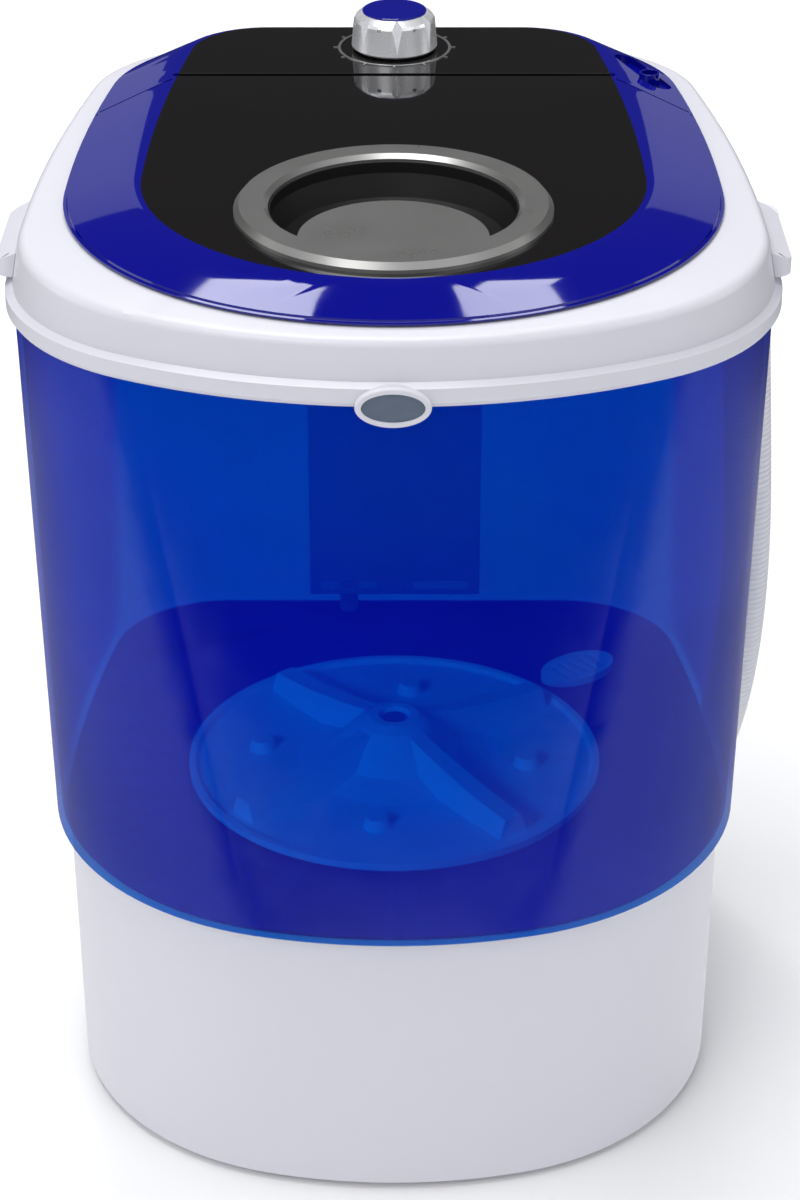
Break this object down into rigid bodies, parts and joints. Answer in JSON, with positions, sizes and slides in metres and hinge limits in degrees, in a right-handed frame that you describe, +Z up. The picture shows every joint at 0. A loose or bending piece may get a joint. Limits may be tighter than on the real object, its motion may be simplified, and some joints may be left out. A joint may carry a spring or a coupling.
{
  "type": "top load washing machine",
  "caption": "Small portable top-loading washer: D-shaped white base, translucent blue tub with a pulsator, white collar, hinged round-fronted lid, timer knob and side drain hose.",
  "frame": {"origin": "centre of the footprint on the floor, under the feet", "axes": "+Z up, -Y towards the front badge, +X towards the side with the drain hose"},
  "size_m": [0.3705, 0.374, 0.4818],
  "materials": {
    "white_shell": "smooth moulded white with a slight sheen",
    "blue_tub": "glossy translucent cobalt blue",
    "blue_band": "high-gloss opaque cobalt blue",
    "black_panel": "high-gloss black",
    "silver_trim": "satin silver",
    "knob_silver": "bright satin chrome",
    "badge_grey": "glossy grey-blue",
    "pulsator_blue": "smooth lighter blue",
    "hose_white": "ribbed flexible plastic",
    "rubber_grey": "matt rubber",
    "white_inner": "plain moulded plastic",
    "black_inner": "plain black plastic",
    "steel": "zinc plated",
    "cast_motor": "painted",
    "copper_bush": "sintered bronze"
  },
  "bodies": {
    "cabinet": {"base_housing": "white_shell", "base_deck": "white_shell", "base_plate": "white_shell", "base_screws": "steel", "rubber_feet": "rubber_grey", "cord_gland": "rubber_grey", "wash_tub": "blue_tub", "overflow_cover": "pulsator_blue", "wire_conduit": "white_inner", "wiring_harness": "black_inner", "drain_strainer": "pulsator_blue", "drain_pipe": "white_inner", "hose_outlet": "white_inner", "hose_clip": "white_inner", "drain_hose": "hose_white", "hose_cuff": "hose_white", "top_collar": "white_shell", "carry_lug_left": "white_shell", "carry_lug_right": "white_shell", "badge_rim": "white_shell", "badge_plate": "badge_grey", "splash_box": "white_inner", "console_frame": "blue_band", "console_panel": "black_panel", "console_screws": "steel", "hinge_pins": "steel", "inlet_spout": "blue_band", "dial_ring": "silver_trim", "timer_body": "black_inner", "drive_belt": "rubber_grey", "bearing_housing": "steel", "bearing_screws": "steel", "shaft_bearings": "copper_bush", "shaft_seal": "rubber_grey", "motor_body": "cast_motor", "motor_bracket": "steel", "motor_grommets": "rubber_grey", "motor_bolts": "steel", "capacitor": "black_inner"},
    "lid": {"lid_frame": "blue_band", "lid_panel": "black_panel", "grip_ring": "silver_trim", "grip_plate": "silver_trim", "grip_bowl": "black_inner"},
    "timer_knob": {"timer_shaft": "white_inner", "knob_body": "knob_silver", "knob_cap": "blue_band"},
    "agitator": {"pulsator": "pulsator_blue", "pulsator_screw": "steel", "drive_shaft": "steel", "driven_pulley": "black_inner", "pulley_nut": "steel"},
    "rotor": {"motor_rotor": "steel", "motor_fan": "black_inner", "motor_pulley": "steel"}
  },
  "joints": [
    {"name": "lid_hinge", "type": "hinge", "parent": "cabinet", "child": "lid", "pos_m": [0, 0.10842, 0.45641], "axis": [-1, 0, 0], "range_deg": [0, 95]},
    {"name": "timer_turn", "type": "hinge", "parent": "cabinet", "child": "timer_knob", "pos_m": [0, 0.15087, 0.46129], "axis": [0, -0.0349, 0.9994], "range_deg": [-300, 0]},
    {"name": "pulsator_spin", "type": "hinge", "parent": "cabinet", "child": "agitator", "pos_m": [0, -0.028, 0.15], "axis": [0, 0, 1], "continuous": true},
    {"name": "motor_spin", "type": "hinge", "parent": "cabinet", "child": "rotor", "pos_m": [0, 0.088, 0.1], "axis": [0, 0, 1], "continuous": true}
  ],
  "couplings": [
    {"joint": "motor_spin", "follows": "pulsator_spin", "ratio": 6.3409}
  ]
}
